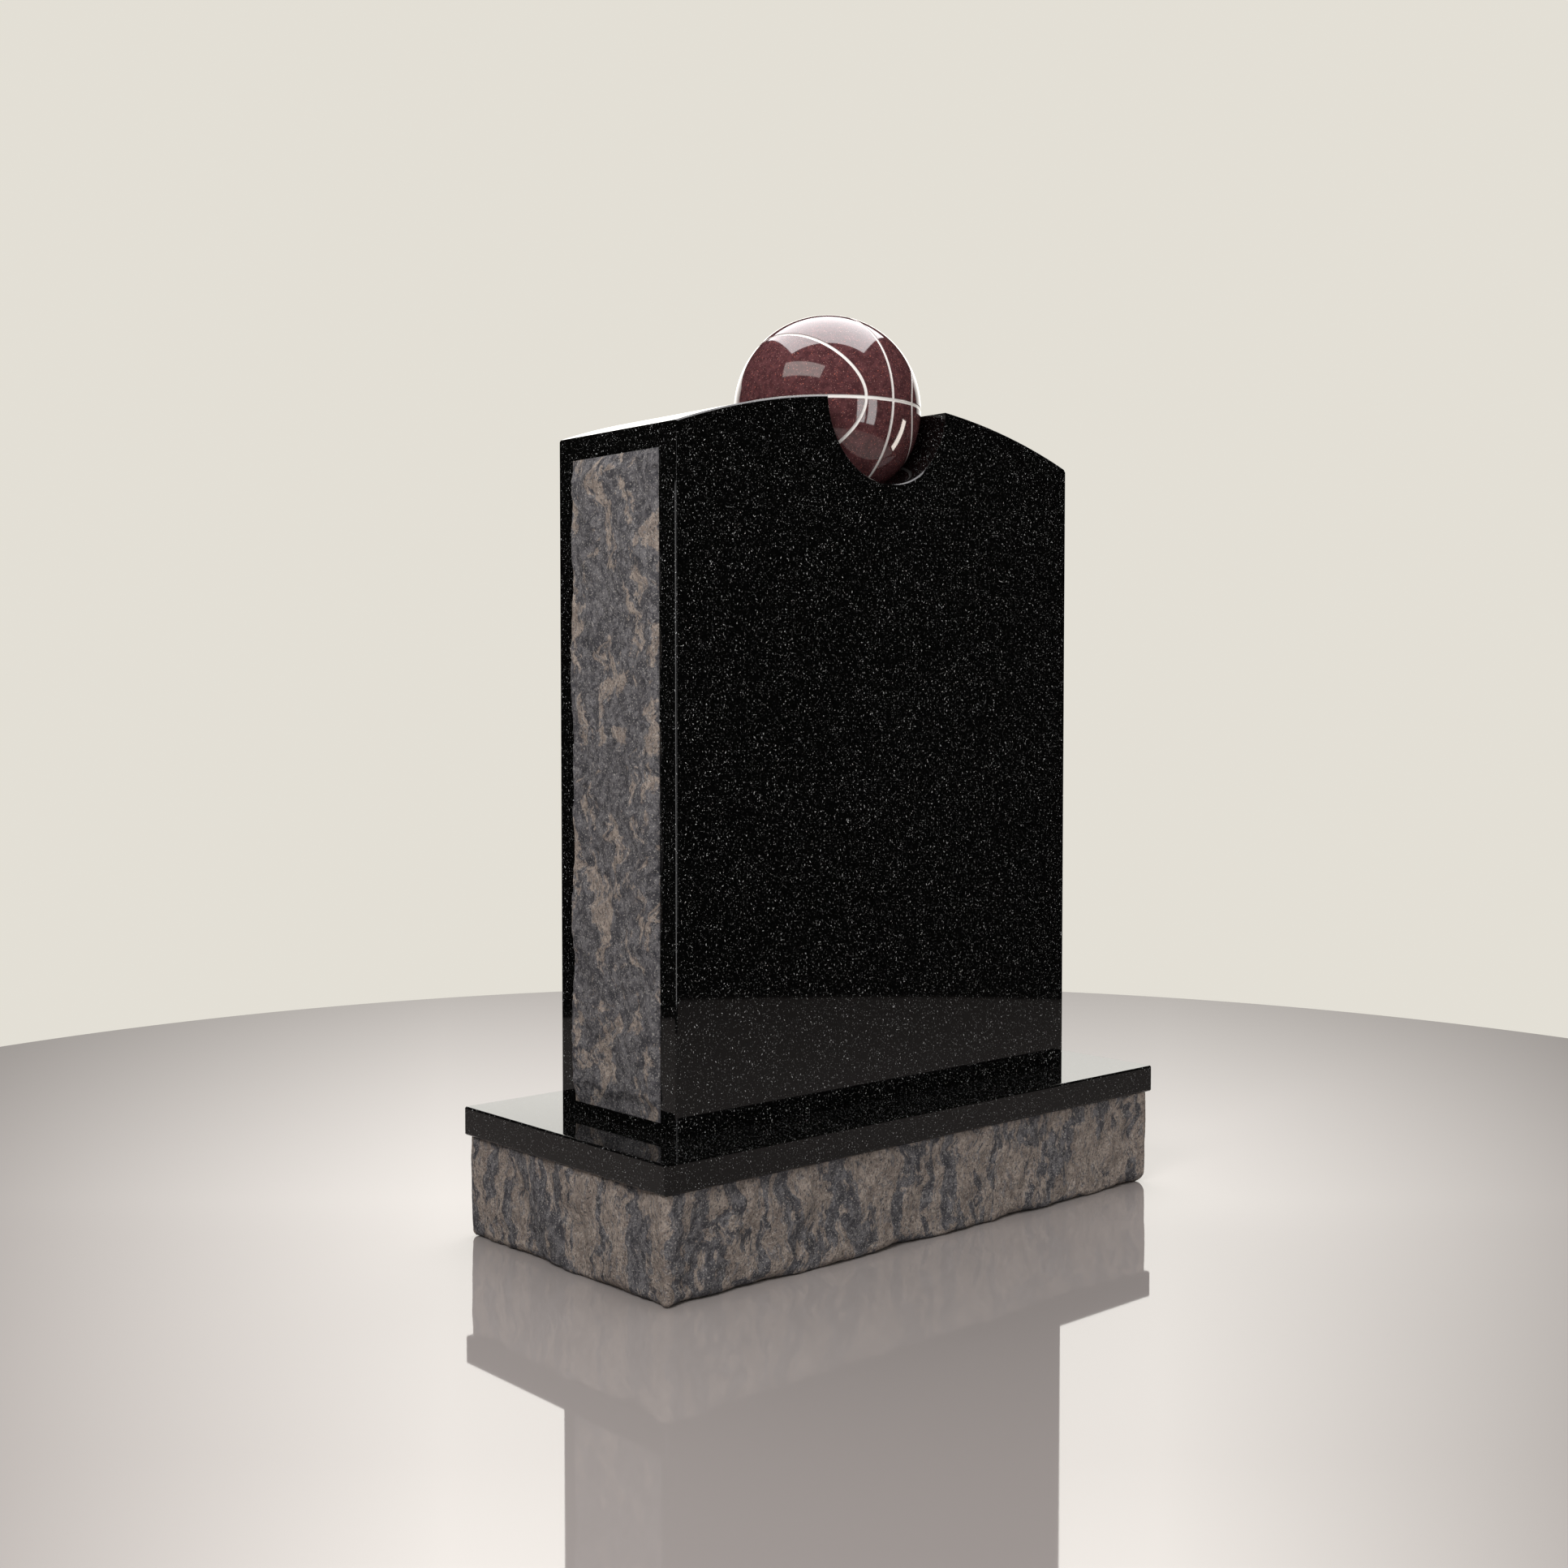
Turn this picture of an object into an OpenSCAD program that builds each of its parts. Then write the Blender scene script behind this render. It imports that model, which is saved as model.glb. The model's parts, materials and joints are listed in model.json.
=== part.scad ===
// Upright headstone: a polished black granite tablet with a cambered top, a
// stone ball bedded in a round scoop cut through that top, rock-pitched stone
// panels let into both sides, and a polished cap slab on a rock-pitched base.
// Millimetres. X runs along the face, the front is -Y and Z is up. The origin
// is the middle of the underside.

/* [Tablet] */
// Width of the tablet
tablet_w = 600; // [450:10:900]
// Thickness of the tablet, front to back
tablet_d = 200; // [150:5:280]
// Height of the tablet at its shoulders
shoulder_h = 720; // [500:10:1000]
// Rise of the cambered top above the shoulders
arch_rise = 52; // [30:1:90]
// Flat arris taken off every polished edge
arris = 2.5; // [1:0.5:5]

/* [Ball] */
// Radius of the ball
ball_r = 106; // [85:1:130]
// How much smaller the scoop's radius is than the ball's
seat_bite = 15; // [8:1:25]
// How far the ball's centre lies below the top of the camber
ball_sink = 1; // [0:1:20]
// Gap between the ball and its bed, filled by the setting compound
seat_gap = 0.3; // [0.2:0.1:1]
// Width of the lines cut in the ball
line_w = 4; // [2:0.5:8]
// Depth of the lines cut in the ball
line_depth = 1.2; // [0.6:0.2:3]

/* [Side panels] */
// Polished margin in front of and behind a panel
panel_margin_y = 26; // [15:1:40]
// Polished margin above a panel, at the shoulder
panel_margin_top = 24; // [12:1:60]
// Polished margin below a panel
panel_margin_foot = 12; // [6:1:60]
// Depth of the pocket that holds a panel
pocket_depth = 10; // [5:1:20]
// How far a pitched panel face stands proud of the side
panel_proud = 14; // [6:1:25]

/* [Cap slab] */
// Ledge of the slab beyond the tablet at each end
ledge_x = 75; // [40:5:150]
// Ledge of the slab beyond the tablet at front and back
ledge_y = 77.5; // [40:2.5:150]
// Thickness of the slab
cap_t = 31; // [20:1:60]

/* [Rock base] */
// Height of the rock-pitched block
rock_h = 111; // [70:1:200]
// How far the block's faces lie inside the slab's edge
rock_setback = 7; // [7:1:20]
// How far the pitched faces swell and dip
rock_relief = 4.5; // [2:0.5:7]
// Radius of the worn edge round the foot
foot_r = 10; // [6:1:20]
// Radius of the block's upright corners
rock_corner_r = 16; // [8:1:30]

/* [Hidden] */
$fn = 96;
over = 5;                   // how far a cutter runs past the face that it opens

// Heights of the beds where one piece stands on the next
cap_z = rock_h;
tablet_z = cap_z + cap_t;
apex_z = tablet_z + shoulder_h + arch_rise;

// The camber is one circle through both shoulders and the apex
arch_r = (pow(tablet_w / 2, 2) + pow(arch_rise, 2)) / (2 * arch_rise);
arch_z = apex_z - arch_r;
ball_z = apex_z - ball_sink;
scoop_r = ball_r - seat_bite;

cap_w = tablet_w + 2 * ledge_x;
cap_d = tablet_d + 2 * ledge_y;

// A panel fills the side of the tablet but for its polished margins
panel_d = tablet_d - 2 * panel_margin_y;
panel_h = shoulder_h - panel_margin_top - panel_margin_foot;
panel_z = tablet_z + panel_margin_foot;
panel_cols = 12;
panel_rows = 52;
border_y = 20;              // width of a panel's pitched border, front and back
border_top = 18;            // and along its head
border_foot = 28;           // and along its foot
panel_swing = 0.25;         // share of the proud height that swells and dips

// The lines on the ball: two great circles, and on each end a loop that is an
// ellipse when seen from that end, with these half axes as shares of ball_r
loop_y = 0.943;
loop_z = 0.716;
loop_steps = 48;

rock_x = cap_w / 2 - rock_setback;
rock_y = cap_d / 2 - rock_setback;
corner_steps = 4;
face_step = 15;             // spacing of the points along a pitched face
levels = [0, 0.02, 0.05, 0.1, 0.2, 0.34, 0.48, 0.62, 0.76, 0.88, 0.98, 1];
rock_lip = 2;               // knocked off the block's edge under the slab
foot_swing = 0.6;           // share by which the worn edge varies in size

// A pitched face is a sum of slanting waves through the stone. Each one is
// [wavelength along x, along y, along z, share of the relief, phase].
PITCH = [[330, -260, 420, 0.30, 20], [-150, 190, 240, 0.26, 130],
         [84, 110, -130, 0.20, 250], [61, -74, 96, 0.14, 70], [-43, 52, 58, 0.10, 310]];
CHIPS = [[210, 170, 1000, 0.6, 200], [-97, 120, 1000, 0.4, 60]];

black = [0.05, 0.05, 0.055];
rock = [0.46, 0.44, 0.43];
maroon = [0.28, 0.11, 0.11];

function total(list, i = 0) = i < len(list) ? list[i] + total(list, i + 1) : 0;
function swell(waves, p) =
    total([for (w = waves) w[3] * sin(360 * (p.x / w[0] + p.y / w[1] + p.z / w[2]) + w[4])]);

// ---------------------------------------------------------------- tablet

// Turns a shape made round Z to lie along Y, base forward, at height z
module along_y(z) {
    translate([0, 0, z]) rotate([-90, 0, 0]) children();
}

// The camber is part of a great drum with the arris taken off both rims
module drum() {
    face = tablet_d / 2;
    rotate_extrude() polygon([
        [0, -face], [arch_r - arris, -face], [arch_r, arris - face],
        [arch_r, face - arris], [arch_r - arris, face], [0, face]
    ]);
}

// What is cut out for the ball: a round channel from face to face with its
// mouths splayed by the arris, and the ball's bed in the middle of it
module scoop() {
    face = tablet_d / 2;
    rotate_extrude() {
        translate([0, -face]) square([scoop_r, tablet_d]);
        for (end = [-1, 1]) polygon([
            [0, end * (face - arris)], [scoop_r, end * (face - arris)],
            [scoop_r + arris + over, end * (face + over)], [0, end * (face + over)]
        ]);
        intersection() {
            circle(ball_r + seat_gap);
            translate([0, -ball_r]) square(2 * ball_r);
        }
    }
}

module pocket(side) {
    translate([side * (tablet_w / 2 + (over - pocket_depth) / 2), 0, panel_z + panel_h / 2])
        cube([pocket_depth + over, panel_d, panel_h], center = true);
}

// A bar that takes the arris off the straight edge that it is centred on
module edge_cutter(length) {
    rotate([0, 0, 45]) cube([arris * sqrt(2), arris * sqrt(2), length], center = true);
}

// Takes the arris off a shoulder, which is blunter than a square edge
module shoulder_cutter() {
    lean = 45 + asin(tablet_w / 2 / arch_r) / 2;
    rotate([0, lean, 0]) translate([-2 * arris, -tablet_d / 2 - over, -arris * cos(lean)])
        cube([4 * arris, tablet_d + 2 * over, 4 * arris]);
}

module tablet() color(black) difference() {
    intersection() {
        translate([-tablet_w / 2, -tablet_d / 2, tablet_z])
            cube([tablet_w, tablet_d, shoulder_h + arch_rise + over]);
        along_y(arch_z) drum();
    }
    along_y(ball_z) scoop();
    for (side = [-1, 1]) {
        pocket(side);
        translate([side * tablet_w / 2, 0, tablet_z + shoulder_h])
            rotate([0, 0, side > 0 ? 0 : 180]) shoulder_cutter();
        for (end = [-1, 1]) translate([side * tablet_w / 2, end * tablet_d / 2, tablet_z])
            edge_cutter(2 * shoulder_h + 2 * arch_rise);
    }
}

// ------------------------------------------------------------------ ball

module great_circle() rotate_extrude()
    translate([ball_r - line_depth, -line_w / 2]) square([line_depth + over, line_w]);

// The loop's ellipse, made smaller or larger by a share of the line's width:
// the ball's surface slopes there, so the width is foreshortened
function loop_outline(share) = [
    for (i = [0 : loop_steps - 1]) let (t = 360 * i / loop_steps)
        [(ball_r * loop_y + share * line_w * sqrt(1 - pow(loop_y, 2))) * cos(t),
         (ball_r * loop_z + share * line_w * sqrt(1 - pow(loop_z, 2))) * sin(t)]
];

module loops() difference() {
    rotate([90, 0, 90]) linear_extrude(2 * (ball_r + over), center = true) difference() {
        polygon(loop_outline(0.5));
        polygon(loop_outline(-0.5));
    }
    sphere(r = ball_r - line_depth);
}

module ball() color(maroon) translate([0, 0, ball_z]) difference() {
    sphere(r = ball_r);
    great_circle();
    rotate([0, 90, 0]) great_circle();
    loops();
}

// ----------------------------------------------------------- side panels

// Climbs from 0 at the edge of a panel to 1 where the pitched border ends
function border(d, width) = d >= width ? 1 : sin(90 * d / width);

// How far a panel's face stands out at y across and z up
function panel_face(y, z, turn) =
    let (rim = border(min(y, panel_d - y), border_y)
             * border(z, border_foot) * border(panel_h - z, border_top))
    panel_proud * rim * (1 - panel_swing + panel_swing * swell(PITCH, [turn, y, z]));

// Stands on the YZ plane with its pitched face towards +X
module panel(turn) {
    last_c = panel_cols - 1;
    last_r = panel_rows - 1;
    face = [for (r = [0 : last_r]) for (c = [0 : last_c])
        let (y = panel_d * c / last_c, z = panel_h * r / last_r)
        [pocket_depth + panel_face(y, z, turn), y - panel_d / 2, z]];
    rim = concat([for (c = [0 : last_c - 1]) c],
                 [for (r = [0 : last_r - 1]) r * panel_cols + last_c],
                 [for (c = [last_c : -1 : 1]) last_r * panel_cols + c],
                 [for (r = [last_r : -1 : 1]) r * panel_cols]);
    n = len(face);
    m = len(rim);
    polyhedron(
        points = concat(face, [for (i = rim) [0, face[i].y, face[i].z]], [[0, 0, panel_h / 2]]),
        faces = concat(
            [for (r = [0 : last_r - 1]) for (c = [0 : last_c - 1])
                let (a = r * panel_cols + c, b = a + panel_cols)
                each [[a, b + 1, a + 1], [a, b, b + 1]]],
            [for (i = [0 : m - 1]) let (j = (i + 1) % m)
                each [[rim[i], rim[j], n + j], [rim[i], n + j, n + i], [n + i, n + j, n + m]]]));
}

module side_panel(side, turn) color(rock)
    translate([side * (tablet_w / 2 - pocket_depth), 0, panel_z])
        rotate([0, 0, side > 0 ? 0 : 180]) panel(turn);

module side_panel_left() side_panel(-1, 0);
module side_panel_right() side_panel(1, 120);

// -------------------------------------------------------------- cap slab

// A bar with the arris taken off its four long edges
module arrised_bar(w, h, length) linear_extrude(length, center = true) polygon([
    for (s = [[1, 1], [-1, 1], [-1, -1], [1, -1]])
        let (upright = [s.x * w / 2, s.y * (h / 2 - arris)],
             level = [s.x * (w / 2 - arris), s.y * h / 2])
        each s.x * s.y > 0 ? [upright, level] : [level, upright]
]);

module cap_slab() color(black) translate([0, 0, cap_z + cap_t / 2]) intersection() {
    arrised_bar(cap_w, cap_d, cap_t);
    rotate([90, 0, 0]) arrised_bar(cap_w, cap_t, cap_d);
    rotate([90, 0, 90]) arrised_bar(cap_d, cap_t, cap_w);
}

// ------------------------------------------------------------- rock base

// A point of the block's plan on corner k, as [x, y, outward angle]
function corner_point(k, angle) =
    let (sx = k % 4 == 0 || k % 4 == 3 ? 1 : -1, sy = k % 4 < 2 ? 1 : -1)
    [sx * (rock_x - rock_corner_r) + rock_corner_r * cos(angle),
     sy * (rock_y - rock_corner_r) + rock_corner_r * sin(angle), angle];

// The plan runs round corner k, then along the straight face after it
function plan_side(k) =
    let (from = corner_point(k, 90 * (k + 1)), to = corner_point(k + 1, 90 * (k + 1)),
         n = ceil(norm(to - from) / face_step))
    concat([for (i = [0 : corner_steps]) corner_point(k, 90 * (k + i / corner_steps))],
           [for (i = [1 : n - 1]) from + (to - from) * i / n]);

// How far the worn foot and the knocked-off lip draw the face in at height z
function worn(p, z) =
    let (r = foot_r * (1 + foot_swing * swell(CHIPS, p)))
    (z < r ? r - sqrt(pow(r, 2) - pow(r - z, 2)) : 0) + max(0, z - rock_h + rock_lip);

function block_point(p, z) =
    let (out = rock_relief * swell(PITCH, [p.x, p.y, z]) - worn([p.x, p.y, 0], z))
    [p.x + out * cos(p.z), p.y + out * sin(p.z), z];

module rock_base() color(rock) {
    plan = [for (k = [0 : 3]) each plan_side(k)];
    n = len(plan);
    top = (len(levels) - 1) * n;
    polyhedron(
        points = [for (l = levels) for (p = plan) block_point(p, l * rock_h)],
        faces = concat(
            [[for (i = [0 : n - 1]) i]],
            [for (l = [0 : len(levels) - 2]) for (i = [0 : n - 1])
                let (a = l * n + i, b = l * n + (i + 1) % n)
                each [[a, b + n, b], [a, a + n, b + n]]],
            [[for (i = [n - 1 : -1 : 0]) top + i]]));
}

tablet();
ball();
side_panel_left();
side_panel_right();
cap_slab();
rock_base();
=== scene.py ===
"""The looks of an upright headstone: a rock-pitched base, a polished cap slab,
a black granite tablet with pitched panels let into its sides, and a stone
ball bedded in the scoop that is cut through the tablet's cambered top."""
import json
import math
import bpy
import numpy as np
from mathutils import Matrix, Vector

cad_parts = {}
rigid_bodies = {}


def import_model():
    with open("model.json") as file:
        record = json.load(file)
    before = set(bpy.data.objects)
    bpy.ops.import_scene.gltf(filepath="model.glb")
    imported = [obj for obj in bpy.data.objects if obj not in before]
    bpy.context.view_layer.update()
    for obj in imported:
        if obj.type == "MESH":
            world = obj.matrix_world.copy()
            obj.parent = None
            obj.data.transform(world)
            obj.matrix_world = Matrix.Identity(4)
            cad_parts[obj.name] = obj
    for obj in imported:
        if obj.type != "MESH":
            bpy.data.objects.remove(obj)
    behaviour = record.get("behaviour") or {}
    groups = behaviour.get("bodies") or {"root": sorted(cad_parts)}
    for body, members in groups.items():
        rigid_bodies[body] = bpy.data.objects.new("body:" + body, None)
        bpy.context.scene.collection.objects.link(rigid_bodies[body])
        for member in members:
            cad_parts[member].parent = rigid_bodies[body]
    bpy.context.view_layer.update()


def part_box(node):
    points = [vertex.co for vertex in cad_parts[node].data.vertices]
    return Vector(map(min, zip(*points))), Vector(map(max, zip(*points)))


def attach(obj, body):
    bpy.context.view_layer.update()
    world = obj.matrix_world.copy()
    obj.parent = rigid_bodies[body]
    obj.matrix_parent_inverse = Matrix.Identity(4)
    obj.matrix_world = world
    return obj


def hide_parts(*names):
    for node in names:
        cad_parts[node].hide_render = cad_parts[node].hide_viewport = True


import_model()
MM = 0.001

# ------------------------------------------------------------------ the base
# One block of granite, banded blue-grey and buff, that carries everything
# else. Its four faces are pitched off with hammer and chisel, so they swell
# and dip and keep the shallow scars of the flakes that were struck away.

# The faces' swell as slanting waves through the stone: the wavelength along
# x, y and z in millimetres, the share of the relief, and the phase in degrees.
# CHIPS does the same for the wear along the block's foot
PITCH = [(330, -260, 420, 0.30, 20), (-150, 190, 240, 0.26, 130), (84, 110, -130, 0.20, 250),
         (61, -74, 96, 0.14, 70), (-43, 52, 58, 0.10, 310)]
CHIPS = [(210, 170, 1000, 0.6, 200), (-97, 120, 1000, 0.4, 60)]

slab_low, slab_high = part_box("cap_slab")
rock_height = slab_low.z
rock_setback = 5 * MM               # from the slab's edge in to the plan of the faces
rock_corner = 7 * MM                # radius of that plan's corners
rock_relief = 4.5 * MM              # height of the swell
rock_offset = 3.0 * MM              # makes up for what the scars take away
rock_reach = 4 * MM                 # no hump stands further out than this
corner_stand = 3.5 * MM             # an upright corner keeps closer to this than the faces do
corner_spread = 26 * MM
corner_share = 0.7
foot_radius = 10 * MM               # the foot is worn round,
foot_swing = 0.5                    # more in one place and less in another by this share
foot_crumble = 0.05
lip_height = 2 * MM                 # chipped off the top edge
lip_crumble = 1.2 * MM
crowding = 0.18                     # how much closer the courses lie at the foot
rock_steps = 1300                   # points round the block
rock_courses = 68                   # and up it

ripple_size = 21 * MM               # the three roughnesses of a pitched face, each by its shortest
ripple_height = 0.60 * MM           # wave and its height
pit_size = 8 * MM
pit_height = 0.34 * MM
grain_size = 3.8 * MM
grain_height = 0.15 * MM
scar_spacing = 38 * MM              # one flake scar for each square of this side
scar_width = 58 * MM
scar_depth = 5.0 * MM


def swell(points, waves):
    """Sum of share * sin(2 pi * (x / a + y / b + z / c) + phase) over the waves
    (a, b, c, share, phase)."""
    height = 0
    for *lengths, share, phase in waves:
        turns = points @ (1 / (MM * np.array(lengths)))
        height = height + share * np.sin(2 * np.pi * turns + math.radians(phase))
    return height


def crumble(points, size, seed, stretch=1.0, count=28):
    """Sum of count sines in random directions, with wavelengths from size to 2.4 size and stretch
    times that upwards, divided by sqrt(count / 2), so that its spread is about one."""
    rng = np.random.default_rng(seed)
    heading = rng.normal(size=(count, 3))
    heading /= np.linalg.norm(heading, axis=1, keepdims=True)
    heading *= 2 * np.pi / size / rng.uniform(1, 2.4, (count, 1))
    heading[:, 2] /= stretch
    phase = rng.uniform(0, 2 * np.pi, count)
    return np.sin(points @ heading.T + phase).sum(-1) / math.sqrt(count / 2)


def flake_scars(points, count, width, depth, seed):
    """Depth of the deepest flake scar over each point. A scar is a shallow bowl on a tilted bed:
    depth * (1 - (distance from its centre / its width)^2) + tilt . (point - centre). It is a third
    taller than wide, and its width, depth and tilt are drawn for each."""
    rng = np.random.default_rng(seed)
    spots = rng.choice(points.reshape(-1, 3), count)
    deepest = np.zeros(points.shape[:-1])
    for centre in spots + rng.normal(size=spots.shape) * 4 * MM:
        away = (points - centre) * [1, 1, 0.75]
        wide = width * rng.uniform(0.6, 1.3)
        deep = depth * rng.uniform(0.35, 1.1)
        tilt = rng.normal(size=3) * 0.45 * deep / wide
        bowl = deep * (1 - (away ** 2).sum(-1) / wide ** 2) + away @ tilt
        deepest = np.maximum(deepest, bowl)
    return deepest


def rough_face(points, seed):
    """How far a pitched face stands out beyond its swell: ripples, pits and grains less the scars."""
    ripple = crumble(points, ripple_size, seed + 1, stretch=1.5) * ripple_height
    pits = crumble(points, pit_size, seed + 2, stretch=1.3) * pit_height
    grain = crumble(points, grain_size, seed + 3) * grain_height
    area = (np.ptp(points[..., 0]) + np.ptp(points[..., 1])) * 2 * np.ptp(points[..., 2])
    count = int(area / scar_spacing ** 2)
    return ripple + pits + grain - flake_scars(points, count, scar_width, scar_depth, seed)


def round_plan(half_x, half_y, radius, count, arc=33):
    """Even steps round a rectangle with round corners, as x, y and the outward angle: the four
    arcs' points and the sides between them are walked by length."""
    angle = np.concatenate([np.linspace(k, k + 1, arc) for k in range(4)] + [[4]]) * np.pi / 2
    corner = np.repeat([[1, 1], [-1, 1], [-1, -1], [1, -1]], arc, axis=0)
    corner = np.vstack([corner, corner[:1]])
    path = corner * [half_x - radius, half_y - radius]
    path = path + radius * np.stack([np.cos(angle), np.sin(angle)], 1)
    run = np.concatenate([[0], np.cumsum(np.linalg.norm(np.diff(path, axis=0), axis=1))])
    steps = np.linspace(0, run[-1], count, endpoint=False)
    return [np.interp(steps, run, along) for along in (path[:, 0], path[:, 1], angle)]


def grid_quads(rows, cols, closed):
    """Quads of a grid that is stored row by row. With closed, the last column joins the first."""
    number = np.arange(rows * cols).reshape(rows, cols)
    here = number if closed else number[:, :-1]
    beside = np.roll(number, -1, axis=1) if closed else number[:, 1:]
    return np.stack([here[:-1], beside[:-1], beside[1:], here[1:]], -1).reshape(-1, 4)


def build_piece(name, points, quads, caps, crease=30):
    """A mesh object from points, quads and a few large flat faces, smooth but for the edges where
    it turns by more than crease degrees."""
    mesh = bpy.data.meshes.new(name)
    mesh.from_pydata(points.reshape(-1, 3).tolist(), [], quads.tolist() + [list(cap) for cap in caps])
    mesh.polygons.foreach_set("use_smooth", np.ones(len(mesh.polygons), bool))
    mesh.set_sharp_from_angle(angle=math.radians(crease))
    piece = bpy.data.objects.new(name, mesh)
    bpy.context.scene.collection.objects.link(piece)
    return piece


def stack_outlines(name, outlines, crease):
    """A closed piece of outlines stacked in rows: quads between them and a flat face on each end."""
    rows, cols = outlines.shape[:2]
    row = np.arange(cols)
    ends = [row[::-1], row + (rows - 1) * cols]
    return build_piece(name, outlines, grid_quads(rows, cols, True), ends, crease)


def rock_block():
    """Point = plan point + outward * (offset + relief * swell + roughness - worn foot and lip), in
    courses that crowd towards the foot. An upright corner is drawn towards one stand, so that it is
    fuller than the faces, and a soft limit holds the humps back to the reach."""
    half_x = slab_high.x - rock_setback
    half_y = slab_high.y - rock_setback
    x, y, angle = round_plan(half_x, half_y, rock_corner, rock_steps)
    climb = np.linspace(0, 1, rock_courses)[:, None]
    z = rock_height * ((1 - crowding) * climb + crowding * climb ** 2)
    points = np.stack(np.broadcast_arrays(x, y, z), -1)
    plan = points * [1, 1, 0]
    foot = foot_radius * (1 + foot_swing * swell(plan, CHIPS))
    foot = foot * (1 + foot_crumble * crumble(plan, 30 * MM, seed=5))
    under = np.clip(foot - z, 0, None)
    worn = foot - np.sqrt(np.clip(foot ** 2 - under ** 2, 0, None))
    lip = lip_height + lip_crumble * crumble(plan, 14 * MM, seed=6).clip(-1, 2)
    worn = worn + np.clip(z - rock_height + lip, 0, None)
    out = rock_relief * swell(points, PITCH) + rough_face(points, seed=11) + rock_offset
    from_corner = (abs(x) - slab_high.x) ** 2 + (abs(y) - slab_high.y) ** 2
    corner = np.exp(-from_corner / corner_spread ** 2)
    out = out + corner_share * corner * (corner_stand - out)
    out = rock_reach - MM * np.logaddexp(0, (rock_reach - out) / MM) - worn
    return points + out[..., None] * np.stack([np.cos(angle), np.sin(angle), 0 * angle], -1)


class Value:
    """A number, colour or vector at a node's socket. Python's operators on a number add Math nodes."""

    def __init__(self, nodes, socket):
        self.nodes = nodes
        self.socket = socket

    def math(self, operation, *values):
        return self.nodes.node("Math", {"operation": operation}, dict(enumerate(values)))

    def __add__(self, other):
        return self.math("ADD", self, other)

    def __sub__(self, other):
        return self.math("SUBTRACT", self, other)

    def __rsub__(self, other):
        return self.math("SUBTRACT", other, self)

    def __mul__(self, other):
        return self.math("MULTIPLY", self, other)

    def __pow__(self, other):
        return self.math("POWER", self, other)

    __radd__ = __add__
    __rmul__ = __mul__


class Nodes:
    """The node tree of a material, a lamp or the backcloth, in the making."""

    def __init__(self, tree):
        self.tree = tree

    def fill(self, node, inputs):
        """Links or sets the node's sockets, which are named or numbered by inputs."""
        for key, value in inputs.items():
            if isinstance(value, Value):
                self.tree.links.new(value.socket, node.inputs[key])
            else:
                node.inputs[key].default_value = value

    def node(self, kind, settings=None, inputs=None, out=0):
        """Any node: its settings come first, then the values or links of its sockets."""
        node = self.tree.nodes.new("ShaderNode" + kind)
        for key, value in (settings or {}).items():
            setattr(node, key, value)
        self.fill(node, inputs or {})
        if isinstance(out, tuple):
            return [Value(self, node.outputs[key]) for key in out]
        return Value(self, node.outputs[out])

    def vector(self, operation, *values, out=0):
        """Vector maths. out is "Value" where the answer is a number."""
        return self.node("VectorMath", {"operation": operation}, dict(enumerate(values)), out)

    def offset(self, colour):
        """A noise's colour as a vector about zero, from -1/2 to 1/2 each way."""
        return self.vector("SUBTRACT", colour, (0.5, 0.5, 0.5))

    def stretch(self, place, across, along):
        """The place with its scale set so that a pattern's grain is across wide and along high."""
        return self.vector("MULTIPLY", place, (1 / across, 1 / across, 1 / along))

    def noise(self, place, size=1.0, detail=2.0, roughness=0.5, out=0):
        """Noise about 1/2 with clouds of that size. A stretched place has its size already."""
        inputs = {"Vector": place, "Scale": 1 / size, "Detail": detail, "Roughness": roughness}
        return self.node("TexNoise", {}, inputs, out)

    def step(self, value, low, high):
        """Climbs smoothly from 0 at low to 1 at high."""
        return self.node("MapRange", {"interpolation_type": "SMOOTHSTEP"}, {0: value, 1: low, 2: high})

    def blend(self, factor, colour_a, colour_b):
        """Goes from colour_a, where factor is 0, to colour_b, where it is 1."""
        return self.node("Mix", {"data_type": "RGBA"}, {0: factor, 6: colour_a, 7: colour_b}, 2)

    def lay(self, under, over, value, low, high, share):
        """Lays colour over on colour under where value climbs from low to high, at most by share."""
        return self.blend(self.step(value, low, high) * share, under, over)

    def bump(self, height, distance, under=None):
        """A bump of that height, over the bump under it, if there is one."""
        inputs = {"Height": height, "Distance": distance, "Strength": 1.0}
        if under:
            inputs["Normal"] = under
        return self.node("Bump", {}, inputs)


class Finish(Nodes):
    """A material in the making. shader gives the values of the surface's own sockets."""

    def __init__(self, name, shader):
        self.material = bpy.data.materials.new(name)
        self.material.use_nodes = True
        super().__init__(self.material.node_tree)
        self.surface = self.tree.nodes["Principled BSDF"]
        self.fill(self.surface, shader)
        self.place = self.node("TexCoord", out="Object")

    def done(self, **sockets):
        """Feeds the surface's sockets, with _ for the space in a name, and gives the material."""
        self.fill(self.surface, {key.replace("_", " "): value for key, value in sockets.items()})
        return self.material


BUFF = (0.176, 0.145, 0.129, 1)     # the two bands, each clouded with a paler tone,
BUFF_PALE = (0.270, 0.227, 0.200, 1)
SLATE = (0.054, 0.052, 0.059, 1)
SLATE_PALE = (0.128, 0.123, 0.132, 1)
MICA = (0.030, 0.030, 0.036, 1)     # and the dark grains in both, and pale grains that carry a painted glint
PAINTED_GLINT = (0.42, 0.40, 0.38, 1)


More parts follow.
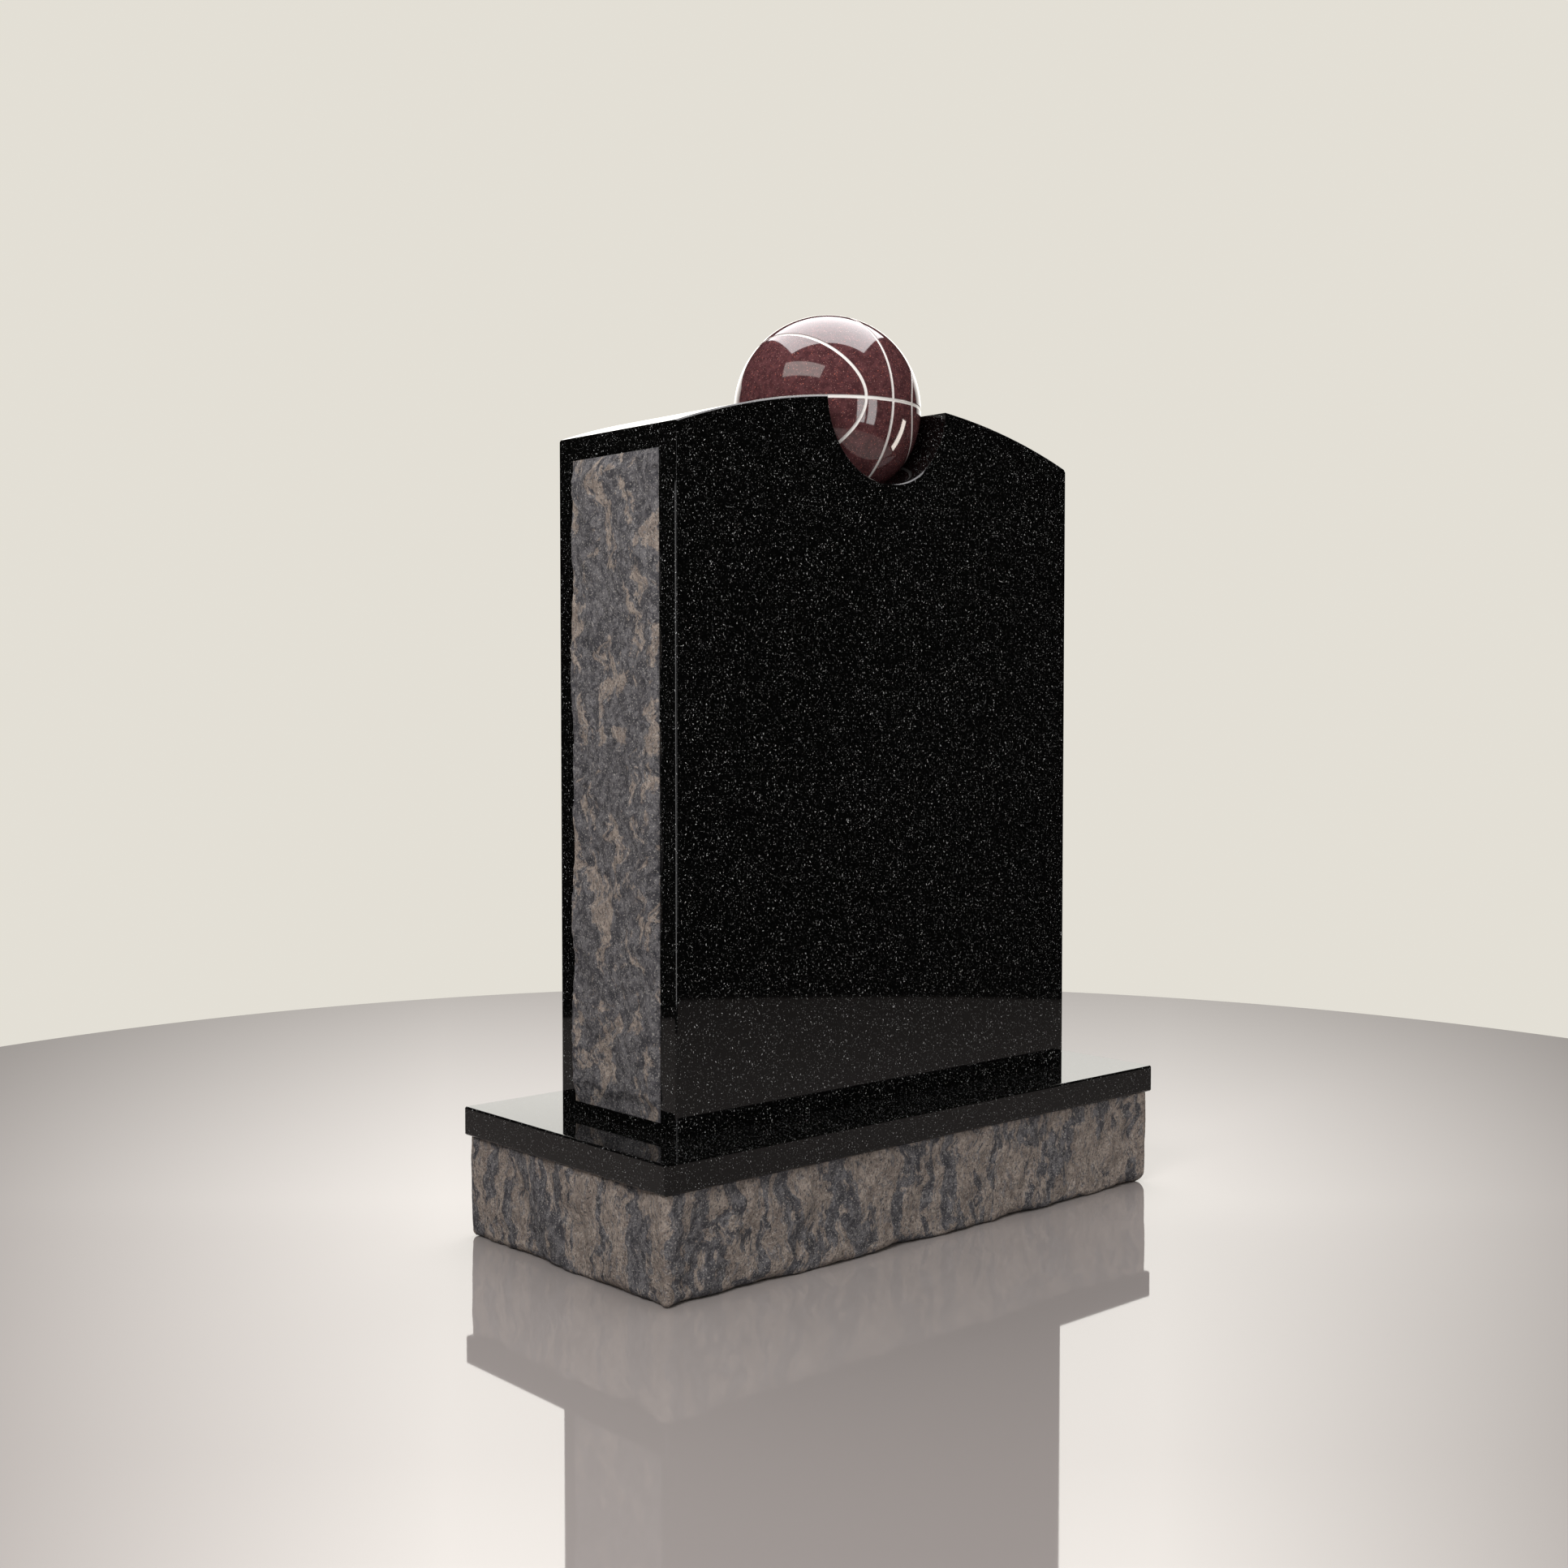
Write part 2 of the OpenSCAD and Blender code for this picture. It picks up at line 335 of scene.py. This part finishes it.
def pitched_granite(name, slate_share, across, along, drift):
    """Banded granite that is left rough. Bands run upwards, across wide and along high, and wander
    by drift: field = noise of the bands + 0.42 of their streaks + 0.15 of the streaks' feathering,
    and slate begins where it passes an edge that slate_share lowers. Dark ticks lean across them."""
    finish = Finish(name, {"Specular IOR Level": 0.3})
    place = finish.place
    wander = finish.offset(finish.noise(place, 80 * MM, 3, 0.6, out="Color"))
    bent = finish.vector("ADD", place, finish.vector("MULTIPLY", wander, (drift, drift, drift)))
    ripple = finish.offset(finish.noise(finish.stretch(place, 75 * MM, 30 * MM), detail=1, out="Color"))
    sideways = finish.vector("MULTIPLY", ripple, (0.8 * drift, 0.8 * drift, 0))
    bent = finish.vector("ADD", bent, sideways)

    bands = finish.noise(finish.stretch(bent, across, along), detail=3)
    streaks = finish.noise(finish.stretch(bent, across / 3.5, along / 4), detail=3, roughness=0.6)
    feather = finish.noise(finish.stretch(bent, across / 9, along / 14), detail=2, roughness=0.6)
    field = bands + 0.42 * (streaks - 0.5) + 0.15 * (feather - 0.5)
    edge = 0.57 - 0.16 * slate_share
    slate_part = finish.step(field, edge - 0.022, edge + 0.024)

    cloud = finish.noise(finish.stretch(bent, 8 * MM, 16 * MM), detail=4, roughness=0.65)
    cloud = finish.step(cloud, 0.40, 0.60)
    veins = finish.noise(finish.stretch(bent, across / 6, along / 7), detail=3)
    blots = finish.noise(finish.stretch(place, 8 * MM, 12 * MM), detail=3)
    buff = finish.blend(cloud, BUFF, BUFF_PALE)
    buff = finish.lay(buff, SLATE_PALE, veins, 0.56, 0.62, 0.70)
    slate = finish.blend(cloud, SLATE, SLATE_PALE)
    slate = finish.lay(slate, MICA, blots, 0.57, 0.63, 0.60)
    colour = finish.blend(slate_part, buff, slate)

    lean = {"Vector": place, "Axis": (0.7071, -0.7071, 0), "Angle": math.radians(32)}
    leaning = finish.node("VectorRotate", {}, lean)
    ticks = finish.noise(finish.stretch(leaning, 1.7 * MM, 7 * MM), detail=2, roughness=0.6)
    colour = finish.lay(colour, MICA, ticks, 0.56, 0.63, 0.70)
    grains = finish.noise(place, 2.4 * MM, 2, 0.65)
    colour = finish.lay(colour, MICA, grains, 0.57, 0.65, 0.55)
    # Bright specks of pale grain, lightened into a painted glint that stands in for their sparkle
    painted_glints = finish.noise(finish.vector("ADD", place, (7, 3, 5)), 1.8 * MM, 2, 0.6)
    colour = finish.lay(colour, PAINTED_GLINT, painted_glints, 0.57, 0.67, 0.50)

    coarse = finish.noise(place, 6 * MM, 3, 0.6)
    relief = finish.bump(grains, 0.5 * MM, finish.bump(coarse, 1.3 * MM))
    return finish.done(Base_Color=colour, Normal=relief, Roughness=0.80 + 0.15 * grains)


def stand_in(piece, node, finish):
    """The piece takes the place of a node of the frame and its finish."""
    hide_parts(node)
    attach(piece, "root")
    piece.data.materials.append(finish)


base = stack_outlines("rock_base_pitched", rock_block(), crease=50)
stand_in(base, "rock_base",
         pitched_granite("pitched granite base", 0.34, 25 * MM, 130 * MM, 38 * MM))

# -------------------------------------------------------------- the cap slab
# A sawn slab of black granite, polished on its top and its four edges, with
# a fine flat arris rubbed on every edge. It overhangs the base a little.

arris = 1.7 * MM
arris_round = 0.6 * MM              # the polisher's rounding where arris and face meet
hold = 1 * MM                       # strip that keeps the shading of a flat face flat


def arris_profile(leg):
    """A flat arris from one face to the next, as pairs (distance in from the side, depth below the
    face): a face strip, two arcs of 45 degrees with the flat between them, and a side strip."""
    tangent = arris_round * math.tan(math.pi / 8)
    turn = np.radians(np.linspace(90, 135, 5))
    inward = leg + tangent + arris_round * np.cos(turn)
    first = np.stack([inward, arris_round - arris_round * np.sin(turn)], 1)
    last = first[::-1, ::-1]
    end = [[leg + tangent + hold, 0]]
    return np.vstack([end, first, last, [end[0][::-1]]])


def slab_outlines(low, high):
    """Outlines of an arrised slab, stacked upwards. Each is a rectangle drawn in by the arris, with
    its corners cut off by the profile of the upright arris, less so the more it is drawn in."""
    profile = arris_profile(arris)
    draw_in = np.concatenate([profile[:, 0], profile[::-1, 0]])
    z = np.concatenate([low.z + profile[:, 1], high.z - profile[::-1, 1]])
    cut = np.clip(1 - 2 * draw_in / arris, 0.02, 1)[:, None]
    near_side = cut * profile[:, 0]
    off_face = cut * profile[:, 1]
    half_x = high.x - draw_in[:, None]
    half_y = high.y - draw_in[:, None]
    x = np.hstack([half_x - off_face, near_side - half_x, off_face - half_x, half_x - near_side])
    y = np.hstack([half_y - near_side, half_y - off_face, near_side - half_y, off_face - half_y])
    return np.stack([x, y, np.broadcast_to(z[:, None], x.shape)], -1)


BLACK = (0.0008, 0.0008, 0.0008, 1)
BLACK_PALE = (0.0024, 0.0023, 0.0023, 1)
FLECK = (0.72, 0.74, 0.76, 1)
SMALL_FLECK = (0.60, 0.60, 0.60, 1)


def flecks(finish, cell, half_length, half_width, bright):
    """Slivers of feldspar. One lies in each cell of a Voronoi pattern, along an axis of its own:
    it shows where 1 - (along / half_length)^2 - (across / half_width)^2 is above 0. Its strength
    is bright * luck^6, so that few are bright and most are faint."""
    centre, tone = finish.node("TexVoronoi", {}, {"Vector": finish.place, "Scale": 1 / cell},
                               ("Position", "Color"))
    away = finish.vector("SUBTRACT", finish.place, centre)
    lean = finish.vector("MULTIPLY", finish.offset(tone), (1, 1, 1.7))      # more upright than level
    axis = finish.vector("NORMALIZE", lean)
    along = finish.vector("DOT_PRODUCT", away, axis, out="Value")
    across = finish.vector("DOT_PRODUCT", away, away, out="Value") - along ** 2
    inside = 1 - along * along * (1 / half_length ** 2) - across * (1 / half_width ** 2)
    luck = finish.node("TexWhiteNoise", {}, {"Vector": centre}, "Value")
    return finish.step(inside, 0.0, 0.45) * (luck ** 6 * bright)


def black_granite():
    """Near-black ground, faintly clouded, with silver slivers of two sizes."""
    finish = Finish("polished black granite", {"Roughness": 0.035, "IOR": 1.52})
    cloud = finish.step(finish.noise(finish.place, 5 * MM, 3, 0.6), 0.45, 0.75)
    colour = finish.blend(cloud, BLACK, BLACK_PALE)
    large = flecks(finish, 2.3 * MM, 1.3 * MM, 0.30 * MM, 1.05)
    small = flecks(finish, 1.4 * MM, 0.7 * MM, 0.23 * MM, 0.65)
    colour = finish.blend(large, colour, FLECK)
    colour = finish.blend(small, colour, SMALL_FLECK)
    return finish.done(Base_Color=colour)


polished_black = black_granite()
cap = stack_outlines("cap_slab_polished", slab_outlines(slab_low, slab_high), crease=18)
stand_in(cap, "cap_slab", polished_black)

# ---------------------------------------------------------------- the tablet
# The upright stone, sawn from black granite and polished all round. Its top
# is cambered to one great circle, a round scoop cut through the top beds the
# ball, and a shallow pocket in each side takes a pitched panel.

tablet_low, tablet_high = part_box("tablet")
ball_low, ball_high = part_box("ball")
panel_low, panel_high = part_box("side_panel_right")
shoulder_height = 720 * MM
camber_rise = 52 * MM
seat_bite = 15 * MM                 # how far the ball is bedded into the scoop's walls
bed_gap = 0.3 * MM
draft = 0.02 * MM                   # lean of the pocket's walls and ends

half_width = tablet_high.x
apex = tablet_low.z + shoulder_height + camber_rise
camber = (half_width ** 2 + camber_rise ** 2) / (2 * camber_rise)
ball_radius = (ball_high.z - ball_low.z) / 2
ball_height = (ball_high.z + ball_low.z) / 2
scoop_radius = ball_radius - seat_bite
bed_radius = ball_radius + bed_gap
pocket_depth = half_width - panel_low.x


def tablet_outlines(bed_rows=41, camber_steps=49, scoop_steps=97):
    """Outlines in x and z, stacked from front to back. Each runs up the left side, over the camber,
    round the scoop and down the right side. The camber is an arc of the great circle and the scoop
    an arc of radius max(scoop, sqrt(bed^2 - y^2)); they meet where the two circles cross."""
    profile = arris_profile(arris)
    bed_edge = math.sqrt(bed_radius ** 2 - scoop_radius ** 2)
    middle = bed_edge * np.sin(np.linspace(-np.pi / 2, np.pi / 2, bed_rows))
    wall = panel_high.y
    y = np.concatenate([tablet_low.y + profile[:, 1], [-wall, draft - wall], middle,
                        [wall - draft, wall], tablet_high.y - profile[::-1, 1]])[:, None]
    upright = np.zeros(len(middle) + 4)
    draw_in = np.concatenate([profile[:, 0], upright, profile[::-1, 0]])[:, None]
    sunk = pocket_depth * (abs(y) < wall - draft / 2)

    great = camber - draw_in
    centre = apex - camber
    rise = ball_height - centre
    scoop = np.maximum(scoop_radius + draw_in, np.sqrt(np.clip(bed_radius ** 2 - y ** 2, 0, None)))
    cross_z = (great ** 2 - scoop ** 2 + rise ** 2) / (2 * rise)
    cross_x = np.sqrt(great ** 2 - cross_z ** 2)
    corner_turn = np.arcsin((half_width - draw_in) / great)
    corner_z = centre + great * np.cos(corner_turn)

    side_x = half_width - draw_in
    inner_x = side_x - sunk
    flat = np.zeros_like(y)
    up_x = np.hstack([side_x, side_x, inner_x, inner_x, side_x, side_x])
    up_z = np.hstack([flat + tablet_low.z, flat + panel_low.z - draft, flat + panel_low.z,
                      flat + panel_high.z, flat + panel_high.z + draft, corner_z - arris])
    share = np.linspace(0, 1, camber_steps)
    turn = (corner_turn - arris / great) * (1 - share) + np.arctan2(cross_x, cross_z) * share
    over_x = great * np.sin(turn)
    over_z = centre + great * np.cos(turn)
    swing = np.arctan2(cross_x, rise - cross_z) * np.linspace(-1, 1, scoop_steps)[1:-1]
    round_x = scoop * np.sin(swing)
    round_z = ball_height - scoop * np.cos(swing)
    x = np.hstack([-up_x, -over_x, round_x, over_x[:, ::-1], up_x[:, ::-1]])
    z = np.hstack([up_z, over_z, round_z, over_z[:, ::-1], up_z[:, ::-1]])
    return np.stack([x, np.broadcast_to(y, x.shape), z], -1)


tablet = stack_outlines("tablet_polished", tablet_outlines(), crease=16)
stand_in(tablet, "tablet", polished_black)

# ----------------------------------------------------------- the side panels
# Two slips of the same banded granite as the base, let into the pockets in
# the tablet's sides and pitched off proud of them, with a struck border that
# falls back to the polished margin all round.

panel_proud = 14 * MM
panel_fit = 0.3 * MM                # joint between a panel's edge and its pocket
panel_offset = 1.2 * MM             # makes up for some of what the scars take away
side_border = 8 * MM                # width of the struck border on the long edges,
foot_border = 24 * MM               # at the foot
head_border = 5 * MM                # and at the front of the head,
head_slope = 18 * MM                # where it is this much wider at the back
border_wander = 2.5 * MM


def border(distance, width):
    """Climbs as a quarter sine from 0 at the panel's long edge to 1 where the struck border ends."""
    return np.sin(np.pi / 2 * np.clip(distance / width, 0, 1))


def pitched_panel(facing, bed, seed, cols=104, rows=500):
    """Face = pocket depth + proud * border * (3/4 + swell / 4) + roughness * border, with the swell
    of the stone at x = bed. Head and foot are struck off flat, the head deeper at its back. The
    points of the face come first, then its rim let back to the pocket's floor. facing is 1 for the
    right panel and -1 for the left, which is later turned half round to the tablet's other side."""
    depth = panel_high.y - panel_low.y
    height = panel_high.z - panel_low.z
    y, z = np.meshgrid(np.linspace(panel_fit, depth - panel_fit, cols),
                       np.linspace(panel_fit, height - panel_fit, rows))
    through = np.stack([np.full_like(y, bed), y, z], -1)
    behind = y / depth if facing > 0 else 1 - y / depth
    wander = border_wander * crumble(through, 26 * MM, seed + 9)
    head = np.clip((height - z) / (head_border + head_slope * behind + wander), 0, 1)
    foot = np.clip(z / (foot_border + wander), 0, 1)
    rim = border(np.minimum(y, depth - y), side_border) * head * foot
    rough = rough_face(through, seed) + panel_offset
    out = panel_proud * rim * (0.75 + 0.25 * swell(through, PITCH))
    out = out + rough * np.minimum(1, rim * 1.6)
    face = np.stack([pocket_depth + np.clip(out, 0, None), y - depth / 2, panel_low.z + z], -1)
    number = np.arange(rows * cols).reshape(rows, cols)
    ring = np.concatenate([number[0, :-1], number[:-1, -1], number[-1, :0:-1], number[:0:-1, 0]])
    back = face.reshape(-1, 3)[ring] * [0, 1, 1]
    floor = rows * cols + np.arange(len(ring))
    walls = np.stack([floor, np.roll(floor, -1), np.roll(ring, -1), ring], -1)
    quads = np.vstack([grid_quads(rows, cols, False), walls])
    return np.vstack([face.reshape(-1, 3), back]), quads, floor[::-1]


panel_finish = pitched_granite("pitched granite panel", 0.84, 28 * MM, 70 * MM, 54 * MM)
for side, facing, bed, seed in (("left", -1, 0.0, 31), ("right", 1, 120 * MM, 47)):
    points, quads, back = pitched_panel(facing, bed, seed)
    points = (points + [half_width - pocket_depth, 0, 0]) * [facing, facing, 1]
    panel = build_piece("side_panel_%s_pitched" % side, points, quads, [back], crease=50)
    stand_in(panel, "side_panel_" + side, panel_finish)

# ------------------------------------------------------------------ the ball
# A ball turned from maroon granite and polished, bedded in the scoop. Eight
# panels are marked off by narrow grooves that are painted off-white: two
# great circles, and on each end a loop that is an ellipse seen from there.

loop_y = 0.943                      # the loop's half axes, as shares of the ball's radius
loop_z = 0.716
groove_half = 2 * MM
groove_depth = 1.2 * MM
groove_lines = np.array([0, 0.35, 0.62, 0.8, 0.92, 1.0, 1.1, 1.35])     # shares of groove_half

MAROON = (0.055, 0.0205, 0.0235, 1)
MAROON_PALE = (0.098, 0.0365, 0.0405, 1)
RED_GRAIN = (0.32, 0.095, 0.075, 1)
PINK_GRAIN = (0.45, 0.24, 0.22, 1)
PAINT = (0.80, 0.77, 0.76, 1)


def grooved_ball(cols=480):
    """Polar grid about the x axis: lat is the angle from its end, psi the turn round it. Rows run
    alongside the loop and the middle circle, columns crowd towards the level circle, and point =
    (radius - depth * (1 - (distance from a groove's middle / half its width)^6)) * ray."""
    turn = np.linspace(0, 2 * np.pi, cols, endpoint=False)
    psi = turn - 0.42 * np.sin(2 * turn)
    loop = np.arcsin(1 / np.hypot(np.cos(psi) / loop_y, np.sin(psi) / loop_z))
    thrice = np.concatenate([psi - 2 * np.pi, psi, psi + 2 * np.pi])
    lead = np.gradient(np.tile(loop, 3), thrice)[cols:2 * cols]
    slant = np.hypot(1, lead / np.sin(loop))        # a row runs this much wider than straight across
    aside = groove_lines[:, None] * groove_half / ball_radius
    towards = loop - slant * aside[::-1]
    beyond = loop + slant * aside[1:]
    middle = np.pi / 2 - aside[::-1] + 0 * psi
    to_loop = np.concatenate([[0.003, 0.01, 0.02], np.linspace(0.03, 1, 34)[:-1]])[:, None]
    to_middle = np.linspace(0, 1, 23)[1:-1, None]
    half = np.vstack([to_loop * towards[0], towards, beyond,
                      beyond[-1] * (1 - to_middle) + middle[0] * to_middle, middle])
    lat = np.vstack([half, np.pi - half[-2::-1]])
    ray = np.stack([-np.cos(lat), np.sin(lat) * np.cos(psi), np.sin(lat) * np.sin(psi)], -1)
    from_loop = abs(np.minimum(lat, np.pi - lat) - loop) / slant
    from_middle = abs(lat - np.pi / 2)
    from_level = abs(np.arcsin(ray[..., 2]))
    across = np.minimum(from_loop, from_middle) * ball_radius / groove_half
    nearest = np.minimum(across, from_level * ball_radius / groove_half)
    depth = groove_depth * np.clip(1 - nearest ** 6, 0, 1)
    points = (ball_radius - depth)[..., None] * ray + [0, 0, ball_height]
    paint = np.clip((1.0 - across) / 0.2, 0, 1)     # full on the groove's floor, none at its lip
    return points, paint


def maroon_granite():
    """Maroon ground with dark cloud and fine red and pink grains. The paint in the grooves follows
    the mesh's own paint mark, and the level circle's follows the height."""
    finish = Finish("polished maroon granite", {"IOR": 1.85})
    cloud = finish.step(finish.noise(finish.place, 7 * MM, 4, 0.6), 0.36, 0.66)
    colour = finish.blend(cloud, MAROON, MAROON_PALE)
    red = flecks(finish, 2.2 * MM, 1.0 * MM, 0.6 * MM, 1.3)
    colour = finish.blend(red, colour, RED_GRAIN)
    pink = flecks(finish, 1.3 * MM, 0.6 * MM, 0.32 * MM, 1.3)
    colour = finish.blend(pink, colour, PINK_GRAIN)
    height = finish.node("SeparateXYZ", {}, {0: finish.place}, "Z") - ball_height
    level = 1 - finish.step(height.math("ABSOLUTE", height), groove_half * 0.84, groove_half * 0.94)
    mark = finish.node("Attribute", {"attribute_name": "paint"}, {}, "Fac")
    paint = level.math("MAXIMUM", level, mark)
    colour = finish.blend(paint, colour, PAINT)
    return finish.done(Base_Color=colour, Roughness=0.06 + 0.22 * paint)


ball_points, paint_mark = grooved_ball()
ball = stack_outlines("ball_grooved", ball_points, crease=80)
ball.data.attributes.new("paint", "FLOAT", "POINT").data.foreach_set("value", paint_mark.ravel())
stand_in(ball, "ball", maroon_granite())

# ---------------------------------------------------------------- the studio
# A round pale floor before a pale backcloth that is black in a mirror, so
# that polished faces show the floor and, above it, darkness. Soft boxes light
# the stones from above, in front and both sides, and a panel glows behind.

floor_radius = 1.72
floor_sides = 256
floor_shine = {"Base Color": (0.345, 0.316, 0.312, 1), "Roughness": 0.03, "IOR": 2.0}
around = np.linspace(0, 2 * np.pi, floor_sides, endpoint=False)
disc = floor_radius * np.stack([np.cos(around), np.sin(around), 0 * around], 1)
floor = build_piece("floor", disc, np.zeros((0, 4), int), [np.arange(floor_sides)])
floor.data.materials.append(Finish("pale polished floor", floor_shine).done())

# The backcloth is at full strength to the eye, at half as a light and almost black in a mirror
cloth_colour = (0.76, 0.73, 0.66, 1)
cloth_light = 0.50
cloth_mirrored = 0.012
world = bpy.data.worlds.new("backcloth")
bpy.context.scene.world = world
world.use_nodes = True
cloth = Nodes(world.node_tree)
seen, as_light = cloth.node("LightPath", out=("Is Camera Ray", "Is Diffuse Ray"))
strength = seen + (cloth_light * as_light + cloth_mirrored)
cloth.fill(cloth.tree.nodes["Background"], {"Color": cloth_colour, "Strength": strength})

# Lamps whose image would show in the floor light the stones alone, and one lamp lights the ground
stones = bpy.data.collections.new("stones")
ground = bpy.data.collections.new("ground")
for thing in bpy.context.scene.objects:
    if thing.type == "MESH":
        (ground if thing == floor else stones).objects.link(thing)


WARM = (1.0, 0.985, 0.965)
ROSY = (1.0, 0.98, 0.99)


def soft_box(name, place, aim, size, radiance, tint=(1, 1, 1), lights=stones):
    """A rectangular area light at place that faces aim. Its power is radiance * pi * its area.
    Where lights is None, it lights everything."""
    light = bpy.data.lights.new(name, "AREA")
    light.shape = "RECTANGLE"
    light.size, light.size_y = size
    light.energy = radiance * math.pi * size[0] * size[1]
    light.color = tint
    lamp = bpy.data.objects.new(name, light)
    lamp.location = place
    lamp.rotation_euler = (Vector(aim) - Vector(place)).to_track_quat("-Z", "Y").to_euler()
    lamp.visible_camera = False
    lamp.light_linking.receiver_collection = lights
    bpy.context.scene.collection.objects.link(lamp)
    return lamp


heading = math.radians(48.27)       # the way the camera looks, from x towards y
ahead = Vector((math.cos(heading), math.sin(heading), 0))
above = 0.62 * ahead + Vector((0, 0, 2.0))
below = above + 0.01 * ahead - Vector((0, 0, 1))
key = soft_box("key box", (-2.06, -0.96, 1.96), (0, 0, 0.45), (1.0, 1.0), 16.0, WARM, None)
key.visible_glossy = False
fill = soft_box("ground fill", above, below, (1.4, 1.76), 3.8, ROSY, ground)
fill.visible_glossy = False
soft_box("overhead box", above, below, (1.4, 1.76), 3.8, ROSY)
soft_box("high left box", (-1.7, -0.35, 2.45), (0, 0, 0.8), (1.9, 0.7), 1.8, (1.0, 0.97, 0.92))
soft_box("left window", (-0.07, -2.55, 0.72), (0, 0, 0.8), (0.50, 1.3), 2.8)
soft_box("right window", (0.55, -2.45, 0.72), (0, 0, 0.8), (0.50, 1.3), 2.8)
soft_box("low strip", (1.73, -0.79, 0.40), (0, 0, 0.9), (0.26, 0.8), 6.0, (1.0, 0.93, 0.84))
soft_box("low card", (-1.79, -1.285, 0.5), (-0.3, -0.1, 0.5), (0.16, 1.05), 2.4)
panel_place = 2.82 * ahead + Vector((0, 0, 1.0))
glow = soft_box("back panel", panel_place, panel_place - ahead, (4.8, 2.0), 1.0, (1.0, 0.98, 0.92), None)

# The back panel is dark at its foot, brighter towards its head and fades to both ends: its colour
# is the product of two ramps, up it and across it, each with stops of (place, level)
panel_strength = 2.8
rise_stops = ((0.0, 0.05), (0.37, 0.67), (0.42, 0.67), (0.72, 0.83), (0.87, 1.0))
fade_stops = ((0.0, 0.2), (0.30, 1.0), (0.70, 1.0), (1.0, 0.2))
glow.data.use_nodes = True
panel_nodes = Nodes(glow.data.node_tree)
spot = panel_nodes.node("NewGeometry", out="Parametric")
sideways, upwards = panel_nodes.node("SeparateXYZ", {}, {0: spot}, ("X", "Y"))


def ramp(value, stops):
    """Runs through the levels of the stops as value climbs from 0 to 1."""
    colour = panel_nodes.node("ValToRGB", {}, {"Fac": value}, "Color")
    ends = colour.socket.node.color_ramp.elements
    for end, (place, level) in zip(ends, (stops[0], stops[-1])):
        end.position = place
        end.color = (level, level, level, 1)
    for place, level in stops[1:-1]:
        ends.new(place).color = (level, level, level, 1)
    return colour


panel_colour = panel_nodes.vector("MULTIPLY", ramp(upwards, rise_stops), ramp(sideways, fade_stops))
panel_nodes.fill(panel_nodes.tree.nodes["Emission"], {"Color": panel_colour, "Strength": panel_strength})

# The camera stands low, in front and to the left, and looks a little downwards
dip = math.radians(2.35)
lens = bpy.data.cameras.new("camera")
lens.lens = 43.15
lens.sensor_width = 36
camera = bpy.data.objects.new("camera", lens)
camera.location = (-1.4684, -1.5725, 0.5774)
forward = ahead * math.cos(dip) - Vector((0, 0, math.sin(dip)))
camera.rotation_euler = forward.to_track_quat("-Z", "Y").to_euler()
bpy.context.scene.collection.objects.link(camera)
bpy.context.scene.camera = camera
bpy.context.scene.view_settings.view_transform = "Standard"
